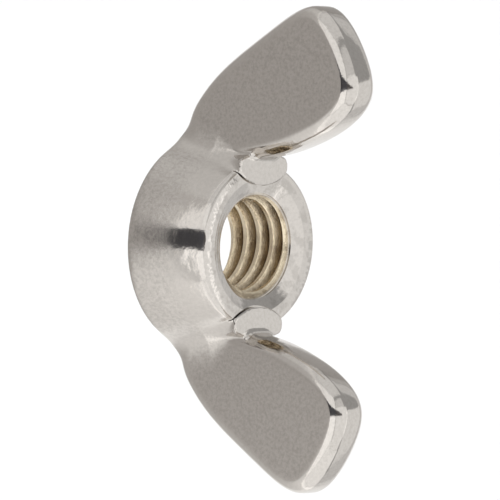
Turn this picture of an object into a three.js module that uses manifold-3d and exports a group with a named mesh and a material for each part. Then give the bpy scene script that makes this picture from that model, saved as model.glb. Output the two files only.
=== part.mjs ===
// Wing nut for an M8 coarse bolt: a round tapered hub and two thick rounded wings, made as
// one piece of stainless steel, then countersunk and tapped right through.
// Millimetres, +Z up. The origin is the centre of the flat bearing face. +Z runs along the
// thread's axis, towards the narrow end of the hub, and the wings reach out along +X and -X.

import * as THREE from 'three';
import { mergeVertices } from 'three/addons/utils/BufferGeometryUtils.js';
import Module from 'manifold-3d';

// Hub: a slightly domed cone with rounded rims, standing on its wide end
const HUB_HEIGHT = 6.05;
const BASE_R = 7.54;
const SIDE_LEAN = 0.207;
const SIDE_DOME = 0.011;
const BASE_ROUND = 0.4;
const TOP_ROUND = 0.3;
const SIDE_STEPS = 6;
const HUB_SIDES = 64;

// Wings: the corners of an ear in X and Z, each with its radius, and the faces' distances
const EAR = [
  { x: 4.6, z: 0.0, radius: 0.0 },
  { x: 9.34, z: 0.0, radius: 3.9 },
  { x: 11.81, z: 1.55, radius: 7.5 },
  { x: 18.47, z: 11.81, radius: 3.1 },
  { x: 10.64, z: 17.06, radius: 3.7 },
  { x: 5.96, z: 8.82, radius: 18.0 },
  { x: 5.96, z: 3.2, radius: 0.0 },
  { x: 4.6, z: 3.2, radius: 0.0 },
];
const HALF_SPAN = 17.3;
const ROOT_THICKNESS = 3.8;
const TIP_THICKNESS = 3.15;
const EDGE_ROUND_Y = 1.0;
const EDGE_ROUND_XZ = 0.73;

// Feet: where each wing stands on the hub, a flat pad with a blunt round nose
const FOOT_HEIGHT = 6.24;
const FOOT_BOTTOM = 5.3;
const FOOT_HALF_WIDTH = 2.0;
const FOOT_END = 6.6;
const NOSE_CENTRE = 8.4;
const NOSE_R = 4.07;

// Thread: M8 x 1.25, right hand, with 60 degree flanks
const PITCH = 1.25;
const MAJOR_R = 4.0;
const MINOR_R = 3.32;
const THREAD_START = 0.15;
const TURN_SIDES = 32;

// Countersinks at both mouths of the thread
const TOP_SINK_R = 4.78;
const TOP_SINK_ANGLE = THREE.MathUtils.degToRad(66);
const BASE_SINK_R = 3.72;
const BASE_SINK_ANGLE = THREE.MathUtils.degToRad(45);

const wasm = await Module();
wasm.setup();

function toSolid(geometry) {
  geometry.deleteAttribute('normal');
  geometry.deleteAttribute('uv');
  const merged = mergeVertices(geometry, 1e-4);
  return new wasm.Manifold(new wasm.Mesh({
    numProp: 3,
    vertProperties: new Float32Array(merged.attributes.position.array),
    triVerts: new Uint32Array(merged.index.array),
  }));
}

function toGeometry(solid) {
  const mesh = solid.getMesh();
  const geometry = new THREE.BufferGeometry();
  geometry.setAttribute('position', new THREE.BufferAttribute(mesh.vertProperties, 3));
  geometry.setIndex(new THREE.BufferAttribute(mesh.triVerts, 1));
  geometry.computeVertexNormals();
  return geometry;
}

// A solid of revolution about Z, from a Path whose points are (radius, z)
function turned(profile, sides) {
  return toSolid(new THREE.LatheGeometry(profile.getPoints(4), sides).rotateX(Math.PI / 2));
}

function sideRadius(z) {
  return BASE_R - SIDE_LEAN * z - SIDE_DOME * z * z;
}

function hub() {
  const top = sideRadius(HUB_HEIGHT);
  const profile = new THREE.Path();
  profile.moveTo(0, 0);
  profile.lineTo(BASE_R - BASE_ROUND, 0);
  profile.quadraticCurveTo(BASE_R, 0, sideRadius(BASE_ROUND), BASE_ROUND);
  for (let i = 1; i <= SIDE_STEPS; i += 1) {
    const z = THREE.MathUtils.lerp(BASE_ROUND, HUB_HEIGHT - TOP_ROUND, i / SIDE_STEPS);
    profile.lineTo(sideRadius(z), z);
  }
  profile.quadraticCurveTo(top, HUB_HEIGHT, top - TOP_ROUND, HUB_HEIGHT);
  profile.lineTo(0, HUB_HEIGHT);
  return turned(profile, HUB_SIDES);
}

// The corner of two straight edges, rounded to its radius by one cubic curve
function addCorner(shape, before, corner, after) {
  const here = new THREE.Vector2(corner.x, corner.z);
  const back = new THREE.Vector2(before.x, before.z).sub(here).normalize();
  const on = new THREE.Vector2(after.x, after.z).sub(here).normalize();
  const turn = Math.PI - Math.acos(back.dot(on));
  const reach = corner.radius * Math.tan(turn / 2);
  const handle = corner.radius * (4 / 3) * Math.tan(turn / 4);
  const start = here.clone().addScaledVector(back, reach);
  const end = here.clone().addScaledVector(on, reach);
  shape.lineTo(start.x, start.y);
  if (corner.radius > 0) {
    const first = start.clone().addScaledVector(back, -handle);
    const second = end.clone().addScaledVector(on, -handle);
    shape.bezierCurveTo(first.x, first.y, second.x, second.y, end.x, end.y);
  }
}

// One wing's outline, from inside the hub along the underside, round the tip and back
function wingOutline() {
  const outline = new THREE.Shape();
  outline.moveTo(EAR[0].x, EAR[0].z);
  for (let i = 1; i < EAR.length; i += 1) {
    addCorner(outline, EAR[i - 1], EAR[i], EAR[(i + 1) % EAR.length]);
  }
  return outline;
}

// Both flat faces lean in towards the tip, so each scales in Y with its distance from the hub
function wing() {
  const geometry = new THREE.ExtrudeGeometry(wingOutline(), {
    depth: TIP_THICKNESS - 2 * EDGE_ROUND_Y,
    steps: 1,
    curveSegments: 7,
    bevelThickness: EDGE_ROUND_Y,
    bevelSize: EDGE_ROUND_XZ,
    bevelOffset: -EDGE_ROUND_XZ,
    bevelSegments: 3,
  });
  geometry.translate(0, 0, EDGE_ROUND_Y - TIP_THICKNESS / 2);
  geometry.rotateX(Math.PI / 2);
  const place = geometry.attributes.position;
  const growth = ROOT_THICKNESS / TIP_THICKNESS - 1;
  for (let i = 0; i < place.count; i += 1) {
    const reach = (HALF_SPAN - place.getX(i)) / (HALF_SPAN - BASE_R);
    place.setY(i, place.getY(i) * (1 + growth * reach));
  }
  return toSolid(geometry);
}

// The pad's outline in X and Y, drawn once round its nose
function foot() {
  const side = Math.sqrt(NOSE_R * NOSE_R - FOOT_HALF_WIDTH * FOOT_HALF_WIDTH);
  const half = Math.atan2(FOOT_HALF_WIDTH, side);
  const pad = new THREE.Shape();
  pad.moveTo(FOOT_END, -FOOT_HALF_WIDTH);
  pad.lineTo(FOOT_END, FOOT_HALF_WIDTH);
  pad.lineTo(NOSE_CENTRE - side, FOOT_HALF_WIDTH);
  pad.absarc(NOSE_CENTRE, 0, NOSE_R, Math.PI - half, Math.PI + half, false);
  const geometry = new THREE.ExtrudeGeometry(pad, {
    depth: FOOT_HEIGHT - FOOT_BOTTOM,
    curveSegments: 12,
    bevelEnabled: false,
  });
  return toSolid(geometry.translate(0, 0, FOOT_BOTTOM));
}

// The ridge that a tap cuts: a trapezium extruded in many steps, then wound into a helix
function threadRidge() {
  const section = new THREE.Shape();
  const rootHalf = PITCH / 16;
  const inner = MINOR_R - 0.2;
  const innerHalf = rootHalf + (MAJOR_R - inner) * Math.tan(Math.PI / 6);
  section.moveTo(inner, -innerHalf);
  section.lineTo(MAJOR_R, -rootHalf);
  section.lineTo(MAJOR_R, rootHalf);
  section.lineTo(inner, innerHalf);
  const turns = Math.ceil(HUB_HEIGHT / PITCH) + 2;
  const sweep = turns * 2 * Math.PI;
  const geometry = new THREE.ExtrudeGeometry(section, {
    depth: sweep,
    steps: turns * TURN_SIDES,
    bevelEnabled: false,
  });
  const place = geometry.attributes.position;
  const top = THREAD_START + (turns - 1) * PITCH;
  for (let i = 0; i < place.count; i += 1) {
    const radius = place.getX(i);
    const height = top + place.getY(i) - (place.getZ(i) / (2 * Math.PI)) * PITCH;
    const angle = -place.getZ(i);
    place.setXYZ(i, radius * Math.cos(angle), radius * Math.sin(angle), height);
  }
  return toSolid(geometry);
}

function tap() {
  const profile = new THREE.Path();
  profile.moveTo(0, -PITCH);
  profile.lineTo(MINOR_R, -PITCH);
  profile.lineTo(MINOR_R, HUB_HEIGHT + PITCH);
  profile.lineTo(0, HUB_HEIGHT + PITCH);
  return turned(profile, TURN_SIDES).add(threadRidge());
}

// A cone that opens out of the mouth at height z; direction is +1 upwards and -1 downwards
function countersink(radius, halfAngle, z, direction) {
  const overrun = 0.5;
  const depth = radius / Math.tan(halfAngle);
  const profile = new THREE.Path();
  profile.moveTo(0, -depth);
  profile.lineTo(radius + overrun * Math.tan(halfAngle), overrun);
  profile.lineTo(0, overrun);
  const cone = new THREE.LatheGeometry(profile.getPoints(), HUB_SIDES).rotateX(Math.PI / 2);
  if (direction < 0) {
    cone.rotateX(Math.PI);
  }
  return toSolid(cone.translate(0, 0, z));
}

function bothSides(solid) {
  return solid.add(solid.rotate([0, 0, 180]));
}

function wingNut() {
  const blank = hub().add(bothSides(wing()));
  const sunk = blank
    .subtract(countersink(TOP_SINK_R, TOP_SINK_ANGLE, HUB_HEIGHT, 1))
    .subtract(countersink(BASE_SINK_R, BASE_SINK_ANGLE, 0, -1))
    .add(bothSides(foot()));
  const mesh = new THREE.Mesh(
    toGeometry(sunk.subtract(tap())),
    new THREE.MeshStandardMaterial({ color: 0xb5b0aa, roughness: 0.38, metalness: 1 }),
  );
  mesh.name = 'wing_nut';
  return mesh;
}

const group = new THREE.Group();
group.add(wingNut());

export default group;
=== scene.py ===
import math

import bpy
from mathutils import Matrix, Vector


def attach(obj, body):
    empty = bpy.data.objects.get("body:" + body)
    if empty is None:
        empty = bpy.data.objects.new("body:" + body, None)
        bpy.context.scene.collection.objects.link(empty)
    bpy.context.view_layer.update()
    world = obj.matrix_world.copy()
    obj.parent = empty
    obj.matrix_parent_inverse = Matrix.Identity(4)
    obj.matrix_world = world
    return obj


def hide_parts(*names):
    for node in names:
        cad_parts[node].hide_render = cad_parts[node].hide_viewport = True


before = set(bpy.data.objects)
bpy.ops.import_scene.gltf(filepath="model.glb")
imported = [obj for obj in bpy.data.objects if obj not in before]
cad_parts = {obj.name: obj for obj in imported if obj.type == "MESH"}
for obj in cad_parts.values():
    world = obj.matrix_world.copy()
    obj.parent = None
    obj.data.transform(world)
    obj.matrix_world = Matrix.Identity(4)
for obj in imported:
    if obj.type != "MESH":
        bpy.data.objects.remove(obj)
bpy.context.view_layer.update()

MM = 0.001

# ---------------------------------------------------------------------------------------
# Wing nut, the blank. Stainless steel, hot forged in one piece with both wings, then tumbled
# until every edge is round. Its surface is the zero level of a distance field, meshed and
# drawn onto the level by Geometry Nodes, which work in millimetres.
# ---------------------------------------------------------------------------------------


class Wire:
    """A socket's value in a node tree. Arithmetic on it adds Math nodes."""

    def __init__(self, socket):
        self.socket = socket

    def math(self, operation, *others):
        made = add(self.socket.id_data, "ShaderNodeMath", {"operation": operation})
        for slot, value in zip(made.inputs, (self, *others)):
            plug(slot, value)
        return Wire(made.outputs[0])

    def __add__(self, other):
        return self.math("ADD", other)

    def __sub__(self, other):
        return self.math("SUBTRACT", other)

    def __mul__(self, other):
        return self.math("MULTIPLY", other)

    def __truediv__(self, other):
        return self.math("DIVIDE", other)

    def __rsub__(self, other):
        return (self * -1.0) + other

    def __neg__(self):
        return self * -1.0

    def __abs__(self):
        return self.math("ABSOLUTE")

    __radd__ = __add__
    __rmul__ = __mul__


def plug(slot, value):
    if isinstance(value, Wire):
        slot.id_data.links.new(value.socket, slot)
    else:
        slot.default_value = value


def add(tree, kind, settings=(), inputs=()):
    """Adds one node: its settings first, then the values or wires of its sockets by name."""
    made = tree.nodes.new(kind)
    for name, value in dict(settings).items():
        setattr(made, name, value)
    for name, value in dict(inputs).items():
        plug(made.inputs[name], value)
    return made


def root(value):
    return value.math("SQRT")


def larger(a, b):
    return a.math("MAXIMUM", b)


def smaller(a, b):
    return a.math("MINIMUM", b)


def both(a, b, blend):
    """What is inside a and b, with the edge between them rounded over the blend."""
    return a.math("SMOOTH_MAX", b, blend)


def either(a, b, fillet):
    """What is inside a or b, with the corner between them filled over the fillet."""
    return a.math("SMOOTH_MIN", b, fillet)


SIZES = {
    "Base Radius": 7.535,
    "Hub Height": 6.05,
    "Foot Height": 6.24,
    "Tip Reach": 17.6,
    "Face Lean": 0.009,
    "Tip Thickness": 3.152,
    "Edge Round": 1.08,
}

# The ear's straight edges: the angle of each outward normal in degrees above the base, and
# how far the edge lies from the centre of the bearing face
EAR_EDGES = {
    "base": (-90.0, 0.0),
    "belly": (-57.9, 4.964),
    "outer": (-33.0, 9.062),
    "upper": (56.2, 20.093),
    "inner": (150.4, -0.829),
    "heel": (180.0, -5.964),
}

# How wide the rounding is between each edge and the one before it
EAR_CORNERS = {"belly": 0.91, "outer": 2.23, "upper": 5.4, "inner": 7.07, "heel": 4.42}


def corner(a, b, blend, turn):
    """The rounded corner of two straight edges, as a true distance from its outline."""
    near = larger(blend - abs(a - b), 0.0) / blend
    share = near * near * 0.5
    steep = root(1.0 - share * (1.0 - share) * (2.0 * (1.0 - math.cos(math.radians(turn)))))
    return both(a, b, blend) / steep


# The lean and dome of the hub's side, how far the blank stands above the faced top, and the
# rounding of the two rims
SIDE_LEAN = 0.207
SIDE_DOME = 0.011
TOP_SPARE = 0.06
TOP_ROUND = 0.6
TOP_TURN = 70.0
BASE_ROUND = 0.7


def hub_distance(r, z, size):
    """The hub's side leans in a little faster towards the top, so it is slightly domed."""
    height = size["Hub Height"]
    up = larger(smaller(z, size["Foot Height"]), 0.0)
    side = r - (size["Base Radius"] - up * SIDE_LEAN - up * up * SIDE_DOME)
    slope = up * (2 * SIDE_DOME) + SIDE_LEAN
    side = side / root(slope * slope + 1.0)
    return both(corner(side, z - height - TOP_SPARE, TOP_ROUND, TOP_TURN), -z, BASE_ROUND)


def ear_outline(x, z):
    """The ear seen from its flat face: its straight edges one after another, corners rounded."""
    outline = None
    last = 0.0
    for edge, (angle, offset) in EAR_EDGES.items():
        beyond = x * math.cos(math.radians(angle)) + z * math.sin(math.radians(angle)) - offset
        if outline is None:
            outline = beyond
        else:
            outline = corner(outline, beyond, EAR_CORNERS[edge], angle - last)
        last = angle
    return outline


# How much the wing's edge bulges, and how its face turns into it
EDGE_CROWN = 0.05
FACE_TURN = math.cos(math.radians(19))
FACE_RIM = 0.06


def half_thickness(x, size):
    return (size["Tip Reach"] - x) * size["Face Lean"] + size["Tip Thickness"] / 2.0


def wing_distance(x, y, z, size):
    """An ear with flat faces that meet its rounded edge at a crisp turn."""
    edge = size["Edge Round"]
    face = abs(y) - half_thickness(x, size)
    u = face + edge * FACE_TURN
    v = ear_outline(x, z) + y * y * EDGE_CROWN + edge
    outside_u = larger(u, 0.0)
    outside_v = larger(v, 0.0)
    outside = root(outside_u * outside_u + outside_v * outside_v)
    rounded = outside + smaller(larger(u, v), 0.0) - edge
    return both(rounded, face, FACE_RIM)


# The foot's nose is an arc round an upright line through the wing
NOSE_CENTRE = 8.4
NOSE_RADIUS = 4.07
NOSE_ROUND = 0.4
FOOT_HALF_WIDTH = 2.64
FLANK_LEAN = 0.42
FOOT_END = 6.4
FOOT_END_ROUND = 1.3
FOOT_TOP_ROUND = 0.25
FOOT_BOTTOM = 4.2


def foot_distance(x, y, z, size):
    """The wing's flat-topped foot on the hub, with a blunt nose towards the thread."""
    dx = x - NOSE_CENTRE
    nose = root(dx * dx + y * y) - NOSE_RADIUS
    below = size["Foot Height"] - z
    flank = abs(y) - FOOT_HALF_WIDTH + below * FLANK_LEAN
    block = both(nose, flank, NOSE_ROUND)
    block = both(block, x - FOOT_END, FOOT_END_ROUND)
    block = both(block, -below, FOOT_TOP_ROUND)
    return larger(block, FOOT_BOTTOM - z)


def distance_group(name, build, sizes):
    """A node group that gives one distance for a position."""
    group = bpy.data.node_groups.new(name, "GeometryNodeTree")
    face = group.interface
    face.new_socket("Position", in_out="INPUT", socket_type="NodeSocketVector")
    for label in sizes:
        face.new_socket(label, in_out="INPUT", socket_type="NodeSocketFloat")
    face.new_socket("Distance", in_out="OUTPUT", socket_type="NodeSocketFloat")
    start = add(group, "NodeGroupInput")
    end = add(group, "NodeGroupOutput")
    place = add(group, "ShaderNodeSeparateXYZ", {}, {"Vector": Wire(start.outputs["Position"])})
    x, y, z = (Wire(place.outputs[axis]) for axis in "XYZ")
    size = {label: Wire(start.outputs[label]) for label in sizes}
    plug(end.inputs["Distance"], build(x, y, z, size))
    return group


# The fillets of the foot with the wing, and of both with the hub
FOOT_FILLET = 0.9
FILLET_TOP = 6.4
WIDEST_FILLET = 3.15
NARROWEST_FILLET = 0.25


def blank_distance(x, y, z, size):
    """The whole forging. The fillet between hub and wing dies away towards the hub's top."""
    reach = abs(x)
    r = root(x * x + y * y)
    hub = hub_distance(r, z, size)
    foot = foot_distance(reach, y, z, size)
    wing = either(wing_distance(reach, y, z, size), foot, FOOT_FILLET)
    fillet = larger(smaller(FILLET_TOP - z, WIDEST_FILLET), NARROWEST_FILLET)
    return larger(either(hub, wing, fillet), -z)


# The grid's cell, and how close together corners left by the cuts are merged
VOXEL = 0.13
SLIVER = 0.003


def moved(tree, geometry, offset):
    made = add(tree, "GeometryNodeTransform", {}, {"Geometry": geometry, "Translation": offset})
    return Wire(made.outputs[0])


FINE = 192
NOSE_SIDES = 256
CORE_SIDES = 96


def rod(tree, radius, low, high, sides=FINE):
    made = add(tree, "GeometryNodeMeshCylinder", {}, {
        "Vertices": sides, "Radius": radius, "Depth": high - low,
    })
    return moved(tree, Wire(made.outputs["Mesh"]), (0, 0, (low + high) / 2))


def cone(tree, bottom_radius, top_radius, low, high):
    made = add(tree, "GeometryNodeMeshCone", {}, {
        "Vertices": FINE, "Radius Bottom": bottom_radius, "Radius Top": top_radius,
        "Depth": high - low,
    })
    return moved(tree, Wire(made.outputs["Mesh"]), (0, 0, low))


# What the tools cut: the countersink and the facing of the top, the step and the lead-in below
# it, the countersink in the bearing face, and the thread
SINK_SLOPE = math.tan(math.radians(69))
SINK_RADIUS = 4.78
FACED_RADIUS = 6.3
MOUTH_RADIUS = 3.79
MOUTH_LEVEL = 5.60
LEAD_SLOPE = math.tan(math.radians(54))
LEAD_RADIUS = 3.0
LEAD_LEVEL = 5.115
LEAD_DEPTH = 0.6
BASE_SINK_RADIUS = 3.72
PITCH = 1.25
MAJOR_RADIUS = 4.0
MINOR_RADIUS = 3.32


def joined(tree, operation, meshes, first=None):
    """A Mesh Boolean of closed meshes. A difference takes them from the first."""
    made = add(tree, "GeometryNodeMeshBoolean", {"operation": operation, "solver": "MANIFOLD"})
    if first is not None:
        plug(made.inputs["Mesh 1"], first)
    for mesh in meshes:
        tree.links.new(mesh.socket, made.inputs["Mesh 2"])
    return Wire(made.outputs["Mesh"])


def nose_rod(tree, radius, side, low, high):
    return moved(tree, rod(tree, radius, low, high, NOSE_SIDES), (side * NOSE_CENTRE, 0, 0))


def facing_cutter(tree):
    """The tool that faces the hub's top and countersinks the thread between the two feet."""
    height = SIZES["Hub Height"]
    depth, lift = 0.6, 0.5
    sink = cone(tree, SINK_RADIUS - depth * SINK_SLOPE, SINK_RADIUS + lift * SINK_SLOPE,
                height - depth, height + lift)
    face = rod(tree, FACED_RADIUS, height, height + 1.5)
    mouth = rod(tree, MOUTH_RADIUS, MOUTH_LEVEL, height)
    lead = cone(tree, LEAD_RADIUS, LEAD_RADIUS + LEAD_DEPTH * LEAD_SLOPE,
                LEAD_LEVEL, LEAD_LEVEL + LEAD_DEPTH)
    tool = joined(tree, "UNION", [sink, face, mouth, lead])
    noses = [nose_rod(tree, NOSE_RADIUS, side, height - 3, height + 3) for side in (-1, 1)]
    return joined(tree, "DIFFERENCE", noses, tool)


CREASE_DEPTH = 0.30
CREASE_WIDTH = 0.09


def nose_creases(tree):
    """The scored line round each nose, running out over the rim of the hub."""
    low, high = SIZES["Hub Height"] - CREASE_DEPTH, SIZES["Hub Height"] + 0.3
    for side in (-1, 1):
        band = rod(tree, FACED_RADIUS, low, high)
        outer = nose_rod(tree, NOSE_RADIUS + CREASE_WIDTH, side, low - 1, high + 1)
        inner = nose_rod(tree, NOSE_RADIUS, side, low - 1, high + 1)
        yield joined(tree, "DIFFERENCE", [inner], joined(tree, "INTERSECT", [band, outer]))


def base_countersink(tree):
    over, depth = 0.5, 1.0
    return cone(tree, BASE_SINK_RADIUS + over, BASE_SINK_RADIUS - depth, -over, depth)


def tap_core(tree):
    return rod(tree, MINOR_RADIUS, -1.0, 8.0, CORE_SIDES)


THREAD_START = 0.15


def tap_ridge(tree):
    """The tap's cutting ridge: a trapezium swept along a right-hand helix."""
    turns = 7
    inner = MINOR_RADIUS - 0.2
    middle = (inner + MAJOR_RADIUS) / 2
    path = add(tree, "GeometryNodeCurveSpiral", {}, {
        "Resolution": 72, "Rotations": float(turns), "Start Radius": middle, "End Radius": middle,
        "Height": turns * PITCH, "Reverse": True,
    })
    level = add(tree, "GeometryNodeSetCurveNormal", {"mode": "Z_UP"}, {
        "Curve": Wire(path.outputs["Curve"]),
    })
    height = MAJOR_RADIUS - inner
    section = add(tree, "GeometryNodeCurvePrimitiveQuadrilateral", {"mode": "TRAPEZOID"}, {
        "Bottom Width": PITCH / 8 + 2 * height * math.tan(math.radians(30)),
        "Top Width": PITCH / 8, "Height": height, "Offset": 0.0,
    })
    outwards = add(tree, "GeometryNodeTransform", {}, {
        "Geometry": Wire(section.outputs["Curve"]), "Rotation": (0, 0, -math.pi / 2),
    })
    ridge = add(tree, "GeometryNodeCurveToMesh", {}, {
        "Curve": Wire(level.outputs[0]), "Profile Curve": Wire(outwards.outputs[0]),
        "Fill Caps": True,
    })
    return moved(tree, Wire(ridge.outputs["Mesh"]), (0, 0, THREAD_START - PITCH))


# The finish is worked out in millimetres from the middle of the bearing face
STEEL = (0.645, 0.61, 0.57, 1.0)
WORN_STEEL = (0.53, 0.50, 0.465, 1.0)
# The thread's straw tint. The darker colour carries painted shade in the roots, painted dark
# reflections and the tap's scores
STRAW_CREST = (0.90, 0.78, 0.58, 1.0)
STRAW_SHADE_AND_SCORES = (0.22, 0.155, 0.095, 1.0)


def noise(tree, place, scale, detail, rough=0.55):
    made = add(tree, "ShaderNodeTexNoise", {}, {
        "Vector": place, "Scale": scale, "Detail": detail, "Roughness": rough,
    })
    return Wire(made.outputs["Fac"])


def ramp(value, low, high):
    """0 below low and 1 above high, with a soft step between them."""
    made = add(value.socket.id_data, "ShaderNodeMapRange", {"interpolation_type": "SMOOTHSTEP"}, {
        "Value": value, "From Min": low, "From Max": high,
    })
    return Wire(made.outputs["Result"])


def tinted(tree, share, first, second):
    made = add(tree, "ShaderNodeMix", {"data_type": "RGBA"}, {0: share, 6: first, 7: second})
    return Wire(made.outputs[2])


def bumped(tree, height, depth, before=None):
    inputs = {"Height": height, "Distance": depth, "Strength": 1.0}
    if before is not None:
        inputs["Normal"] = before
    return Wire(add(tree, "ShaderNodeBump", {}, inputs).outputs["Normal"])


def tumbled_steel():
    """Satin from the tumbling drum, smoother where tools cut it, and a straw thread with painted
    shade and reflections.
    """
    material = bpy.data.materials.new("tumbled stainless steel")
    material.use_nodes = True
    tree = material.node_tree
    shader = tree.nodes["Principled BSDF"]
    coordinates = Wire(add(tree, "ShaderNodeTexCoord").outputs["Object"])
    place = Wire(add(tree, "ShaderNodeVectorMath", {"operation": "SCALE"}, {
        0: coordinates, "Scale": 1.0 / MM,
    }).outputs[0])
    parts = add(tree, "ShaderNodeSeparateXYZ", {}, {"Vector": place})
    x, y, z = (Wire(parts.outputs[axis]) for axis in "XYZ")
    r = root(x * x + y * y)

    polish = Wire(add(tree, "ShaderNodeAttribute", {"attribute_name": "polish"}).outputs["Fac"])

    peel = noise(tree, place, scale=0.5, detail=2.0)
    grain = noise(tree, place, scale=4.2, detail=4.0, rough=0.7)
    specks = noise(tree, place, scale=8.0, detail=3.0, rough=0.65)
    stains = noise(tree, place, scale=0.9, detail=4.0, rough=0.6)
    stretched = add(tree, "ShaderNodeVectorMath", {"operation": "MULTIPLY"}, {
        0: place, 1: (1, 1, 7),
    })
    scores = noise(tree, Wire(stretched.outputs[0]), scale=2.2, detail=5.0, rough=0.75)
    dents = noise(tree, place, scale=1.3, detail=2.0)

    # The thread, the turned metal at its mouth, and the depth from a crest to a root. The depth
    # paints the thread darker towards its roots: painted shade.
    inside = (1.0 - ramp(r, 3.95, 4.1)) * (1.0 - ramp(z, 5.52, 5.64))
    turned = (1.0 - ramp(r, 5.3, 5.5)) * ramp(z, 5.0, 5.3) * (1.0 - ramp(z, 6.1, 6.15))
    # painted shade: darker from the crests towards the roots
    depth = ramp(r, 3.33, 3.6) * 0.45 + ramp(r, 3.8, 3.98) * 0.45
    # painted reflection: random dark blotches that stand in for the black card mirrored in the
    # thread
    painted_dark_reflections = ramp(stains, 0.50, 0.62) * 0.22
    straw_tint_and_painted_shade = tinted(tree, depth + (scores - 0.5) * 1.3 + painted_dark_reflections, STRAW_CREST, STRAW_SHADE_AND_SCORES)
    wear = ramp(grain, 0.38, 0.66) * (1.0 - polish * 0.6)
    smears = ramp(stains, 0.48, 0.62) * turned * 0.8
    bare = tinted(tree, wear + smears, STEEL, WORN_STEEL)
    plug(shader.inputs["Base Color"], tinted(tree, inside, bare, straw_tint_and_painted_shade))

    satin = 0.215 + (grain - 0.5) * 0.16 + (stains - 0.5) * 0.10
    rubbed = 0.10 + (specks - 0.5) * 0.08 + (stains - 0.5) * 0.05
    rough = satin + (rubbed - satin) * polish
    tapped = 0.17 + (scores - 0.5) * 0.25
    rough = rough + (tapped - rough) * inside
    plug(shader.inputs["Roughness"], rough)

    rings = ((r * 16.0).math("SINE") * 0.5 + 0.5) * turned
    surface = peel + dents * 0.4 + grain * (0.30 - polish * 0.18) + specks * (0.16 - polish * 0.12)
    surface = surface + scores * inside * 1.1
    bump = bumped(tree, surface, 0.024 * MM)
    bump = bumped(tree, rings, 0.0016 * MM, bump)
    plug(shader.inputs["Normal"], bump)
    shader.inputs["Metallic"].default_value = 1.0
    return material


STEEL_FINISH = tumbled_steel()


GRID_LOW = Vector((-18.2, -8.4, -0.6))
GRID_HIGH = Vector((18.2, 8.4, 15.8))
SLOPE_STEP = 0.02


def skin_of(tree, distance, place):
    """The distance field's zero level: a coarse mesh, drawn onto it in three steps."""
    counts = [round((b - a) / VOXEL) for a, b in zip(GRID_LOW, GRID_HIGH)]
    cube = add(tree, "GeometryNodeVolumeCube", {}, {
        "Density": larger(1.0 - distance(place), 0.0),
        "Min": GRID_LOW, "Max": GRID_HIGH,
        "Resolution X": counts[0], "Resolution Y": counts[1], "Resolution Z": counts[2],
    })
    mesh = add(tree, "GeometryNodeVolumeToMesh", {}, {
        "Volume": Wire(cube.outputs[0]), "Threshold": 1.0,
    })
    skin = Wire(mesh.outputs[0])
    for _ in range(3):
        here = distance(place)
        slopes = []
        for axis in range(3):
            shift = Vector((0, 0, 0))
            shift[axis] = SLOPE_STEP
            beside = add(tree, "ShaderNodeVectorMath", {"operation": "ADD"}, {0: place, 1: shift})
            slopes.append((distance(Wire(beside.outputs[0])) - here) / SLOPE_STEP)
        steep = slopes[0] * slopes[0] + slopes[1] * slopes[1] + slopes[2] * slopes[2]
        back = -here / larger(steep, 0.01)
        offset = add(tree, "ShaderNodeCombineXYZ", {}, {
            axis: slope * back for axis, slope in zip("XYZ", slopes)
        })
        drawn = add(tree, "GeometryNodeSetPosition", {}, {
            "Geometry": skin, "Offset": Wire(offset.outputs[0]),
        })
        skin = Wire(drawn.outputs[0])
    return skin


# Edges that turn by more than this are drawn crisp, and by less of it where the metal is turned
CRISP = math.radians(40)
TURNED_LESS = math.radians(25)
TURNED_RADIUS = 5.2


def shaded(tree, mesh, place):
    smooth = add(tree, "GeometryNodeSetShadeSmooth", {}, {"Geometry": mesh})
    angle = Wire(add(tree, "GeometryNodeInputMeshEdgeAngle").outputs["Unsigned Angle"])
    flat = add(tree, "ShaderNodeVectorMath", {"operation": "MULTIPLY"}, {0: place, 1: (1, 1, 0)})
    across = add(tree, "ShaderNodeVectorMath", {"operation": "LENGTH"}, {0: Wire(flat.outputs[0])})
    turned = Wire(across.outputs["Value"]).math("LESS_THAN", TURNED_RADIUS)
    crisp = add(tree, "GeometryNodeSetShadeSmooth", {"domain": "EDGE"}, {
        "Geometry": Wire(smooth.outputs[0]),
        "Selection": angle.math("GREATER_THAN", CRISP - turned * TURNED_LESS),
        "Shade Smooth": False,
    })
    return Wire(crisp.outputs[0])


def marked(tree, mesh, place):
    """Stores where the metal is rubbed bright: the wings' edges and the hub's upper part."""
    parts = add(tree, "ShaderNodeSeparateXYZ", {}, {"Vector": place})
    x, z = (Wire(parts.outputs[axis]) for axis in "XZ")
    edges = ramp(ear_outline(abs(x), z), -1.5, -0.7) * ramp(abs(x), 6.0, 7.0)
    collar = ramp(z, 2.6, 4.2) * (1.0 - ramp(abs(x), 6.0, 7.5))
    stored = add(tree, "GeometryNodeStoreNamedAttribute", {
        "data_type": "FLOAT", "domain": "POINT",
    }, {"Geometry": mesh, "Name": "polish", "Value": larger(edges, collar)})
    return Wire(stored.outputs[0])


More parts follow.
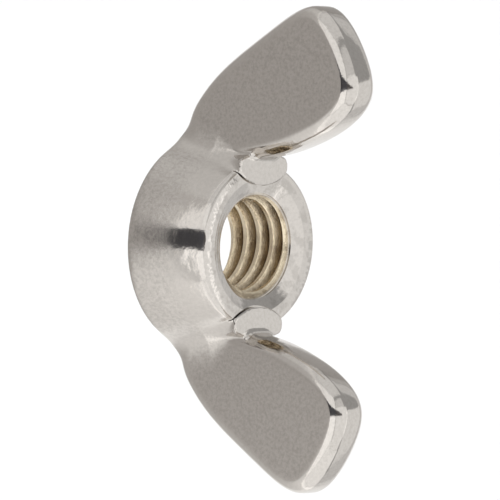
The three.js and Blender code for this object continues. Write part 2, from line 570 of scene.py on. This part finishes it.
def nut_tree():
    """The whole nut: the blank's skin, cut by the tools, then shaded, sized and coated."""
    group = distance_group("blank distance", blank_distance, SIZES)
    tree = bpy.data.node_groups.new("wing nut", "GeometryNodeTree")
    for label in SIZES:
        tree.interface.new_socket(label, in_out="INPUT", socket_type="NodeSocketFloat")
    tree.interface.new_socket("Geometry", in_out="OUTPUT", socket_type="NodeSocketGeometry")
    start = add(tree, "NodeGroupInput")
    end = add(tree, "NodeGroupOutput")
    sizes = {label: Wire(start.outputs[label]) for label in SIZES}

    def distance(position):
        made = add(tree, "GeometryNodeGroup", {"node_tree": group}, {"Position": position, **sizes})
        return Wire(made.outputs["Distance"])

    place = Wire(add(tree, "GeometryNodeInputPosition").outputs[0])
    skin = skin_of(tree, distance, place)
    cutters = [facing_cutter(tree), base_countersink(tree), tap_core(tree), tap_ridge(tree)]
    cut = joined(tree, "DIFFERENCE", cutters + list(nose_creases(tree)), skin)
    split = add(tree, "GeometryNodeTriangulate", {}, {"Mesh": cut})
    clean = add(tree, "GeometryNodeMergeByDistance", {}, {
        "Geometry": Wire(split.outputs[0]), "Distance": SLIVER,
    })
    body = marked(tree, shaded(tree, Wire(clean.outputs[0]), place), place)
    sized = add(tree, "GeometryNodeTransform", {}, {"Geometry": body, "Scale": (MM, MM, MM)})
    real = add(tree, "GeometryNodeRealizeInstances", {}, {"Geometry": Wire(sized.outputs[0])})
    coated = add(tree, "GeometryNodeSetMaterial", {}, {
        "Geometry": Wire(real.outputs[0]), "Material": STEEL_FINISH,
    })
    plug(end.inputs["Geometry"], Wire(coated.outputs[0]))
    return tree


def grow(name, tree, values):
    """Runs a node tree on an empty object and keeps its result as a plain mesh."""
    seed = bpy.data.objects.new(name + " seed", bpy.data.meshes.new(name + " seed"))
    bpy.context.collection.objects.link(seed)
    modifier = seed.modifiers.new("shape", "NODES")
    modifier.node_group = tree
    for socket in tree.interface.items_tree:
        if socket.in_out == "INPUT" and socket.name in values:
            modifier[socket.identifier] = values[socket.name]
    graph = bpy.context.evaluated_depsgraph_get()
    mesh = bpy.data.meshes.new_from_object(seed.evaluated_get(graph), depsgraph=graph)
    bpy.data.objects.remove(seed)
    mesh.name = name
    piece = bpy.data.objects.new(name, mesh)
    bpy.context.collection.objects.link(piece)
    return piece


wing_nut = grow("wing_nut_body", nut_tree(), SIZES)

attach(wing_nut, "root")
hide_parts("wing_nut")


# ---------------------------------------------------------------------------------------
# Studio. A camera with a long lens, a pale matt floor, softboxes round the nut and a black card
# in front of it, which the steel mirrors. The floor is a sheet with painted shade in places,
# which the steel mirrors too, and the softboxes are area lights.
# ---------------------------------------------------------------------------------------

AZIMUTH = math.radians(3.07)
ELEVATION = math.radians(41.43)
ROLL = math.radians(93.96)
LENS = 1000.0
SENSOR = 36.0
FRAME_WIDTH = 0.03566
SHIFT_RIGHT = 0.003851
SHIFT_DOWN = 0.000604
back = Vector((
    math.sin(AZIMUTH) * math.cos(ELEVATION),
    math.cos(AZIMUTH) * math.cos(ELEVATION),
    math.sin(ELEVATION),
))
level = Vector((0, 0, 1)).cross(back).normalized()
upright = back.cross(level)
right = level * math.cos(ROLL) + upright * math.sin(ROLL)
up = back.cross(right)
centre = right * SHIFT_RIGHT - up * SHIFT_DOWN
camera_data = bpy.data.cameras.new("camera")
camera_data.lens = LENS
camera_data.sensor_width = SENSOR
camera = bpy.data.objects.new("camera", camera_data)
bpy.context.collection.objects.link(camera)
distance = FRAME_WIDTH * LENS / SENSOR
turn = Matrix((right, up, back)).transposed().to_4x4()
camera.matrix_world = Matrix.Translation(centre + back * distance) @ turn
camera_data.clip_start = 0.01
camera_data.clip_end = 10.0
bpy.context.scene.camera = camera


def softbox(name, middle, towards, width, height, radiance):
    """A rectangular diffuser with an even radiance, facing a point."""
    data = bpy.data.lights.new(name, "AREA")
    data.shape = "RECTANGLE"
    data.size = width
    data.size_y = height
    data.energy = radiance * math.pi * width * height
    box = bpy.data.objects.new(name, data)
    bpy.context.collection.objects.link(box)
    aim = Vector(towards) - Vector(middle)
    facing = aim.to_track_quat("-Z", "Y").to_matrix().to_4x4()
    box.matrix_world = Matrix.Translation(middle) @ facing
    box.visible_camera = False
    return box


softbox("left front softbox", (-0.16, 0.30, 0.108), (-0.16, 0.0, 0.108), 0.268, 0.287, 0.9)
softbox("right front softbox", (0.227, 0.30, 0.10), (0.227, 0.0, 0.10), 0.27, 0.304, 0.7)
softbox("left side softbox", (-0.30, 0.05, 0.10), (0.0, 0.05, 0.10), 0.5, 0.304, 0.72)
softbox("right side softbox", (0.37, 0.05, 0.10), (0.0, 0.05, 0.10), 0.5, 0.304, 0.40)
softbox("back softbox", (-0.15, -0.35, 0.345), (-0.15, 0.0, 0.345), 0.5, 0.41, 0.52)
softbox("low back softbox", (0.0, -0.35, 0.045), (0.0, 0.0, 0.045), 1.0, 0.19, 0.3)
softbox("ceiling softbox", (-0.2, 0.11, 0.55), (-0.2, 0.11, 0.0), 0.9, 1.02, 0.65)
softbox("right ceiling softbox", (0.45, 0.21, 0.55), (0.45, 0.21, 0.0), 0.4, 0.82, 0.35)
fill = softbox("floor fill", (0.0, 0.0, 0.6), (0.0, 0.0, 0.0), 1.2, 1.2, 0.35)
fill.visible_glossy = False


def sheet(name, corners, paint):
    mesh = bpy.data.meshes.new(name)
    mesh.from_pydata(corners, [], [(0, 1, 2, 3)])
    mesh.materials.append(paint)
    made = bpy.data.objects.new(name, mesh)
    bpy.context.collection.objects.link(made)
    return made


def matt(name, colour):
    paint = bpy.data.materials.new(name)
    paint.use_nodes = True
    shader = paint.node_tree.nodes["Principled BSDF"]
    shader.inputs["Base Color"].default_value = colour
    shader.inputs["Roughness"].default_value = 0.9
    return paint


FLOOR_LEVEL = -0.055
CARD_LEFT = -0.026
CARD_RIGHT = 0.092
CARD_FRONT = 0.3
CARD_TOP = 0.26
card = sheet("black card", [
    (CARD_LEFT, CARD_FRONT, FLOOR_LEVEL), (CARD_RIGHT, CARD_FRONT, FLOOR_LEVEL),
    (CARD_RIGHT, CARD_FRONT, CARD_TOP), (CARD_LEFT, CARD_FRONT, CARD_TOP),
], matt("black card", (0.08, 0.08, 0.09, 1)))
card.visible_camera = False

# A strip that rises from the card's top towards the nut and narrows on the way
STRIP_TOP = 0.54
strip = sheet("dark strip", [
    (CARD_LEFT, CARD_FRONT, CARD_TOP), (CARD_RIGHT, CARD_FRONT, CARD_TOP),
    (0.018, 0.06, STRIP_TOP), (-0.005, 0.06, STRIP_TOP),
], matt("dark strip", (0.12, 0.11, 0.11, 1)))
strip.visible_camera = False

# The floor is white behind the nut and grey elsewhere, less so to the left and right. The grey
# is painted shade, which the steel mirrors.
FLOOR_WHITE = (0.97, 0.97, 0.97, 1)
FLOOR_PAINTED_SHADE = (0.435, 0.42, 0.41, 1)
floor_paint = matt("floor", (0.9, 0.9, 0.9, 1))
floor_tree = floor_paint.node_tree
floor_place = Wire(add(floor_tree, "ShaderNodeTexCoord").outputs["Object"])
parts = add(floor_tree, "ShaderNodeSeparateXYZ", {}, {"Vector": floor_place})
x, y = Wire(parts.outputs["X"]), Wire(parts.outputs["Y"])
behind = (1.0 - ramp(y, -0.034, -0.012)) * (1.0 - ramp(x, 0.03, 0.06))
paler_left = ramp(-x, -0.005, 0.10) * 0.62
paler_right = ramp(x, 0.02, 0.10) * 0.2 + ramp(x - y, 0.05, 0.12) * 0.25
# painted shade: how much grey the floor takes
dark = (1.0 - behind) * (1.0 - paler_left - paler_right * ramp(y, -0.05, 0.0))
plug(floor_tree.nodes["Principled BSDF"].inputs["Base Color"],
     tinted(floor_tree, dark, FLOOR_WHITE, FLOOR_PAINTED_SHADE))
FLOOR_HALF = 3.0
sheet("floor", [
    (-FLOOR_HALF, -FLOOR_HALF, FLOOR_LEVEL), (FLOOR_HALF, -FLOOR_HALF, FLOOR_LEVEL),
    (FLOOR_HALF, FLOOR_HALF, FLOOR_LEVEL), (-FLOOR_HALF, FLOOR_HALF, FLOOR_LEVEL),
], floor_paint)

world = bpy.data.worlds.new("studio")
bpy.context.scene.world = world
world.use_nodes = True
world.node_tree.nodes["Background"].inputs["Color"].default_value = (0.42, 0.42, 0.42, 1)
bpy.context.scene.view_settings.view_transform = "Standard"
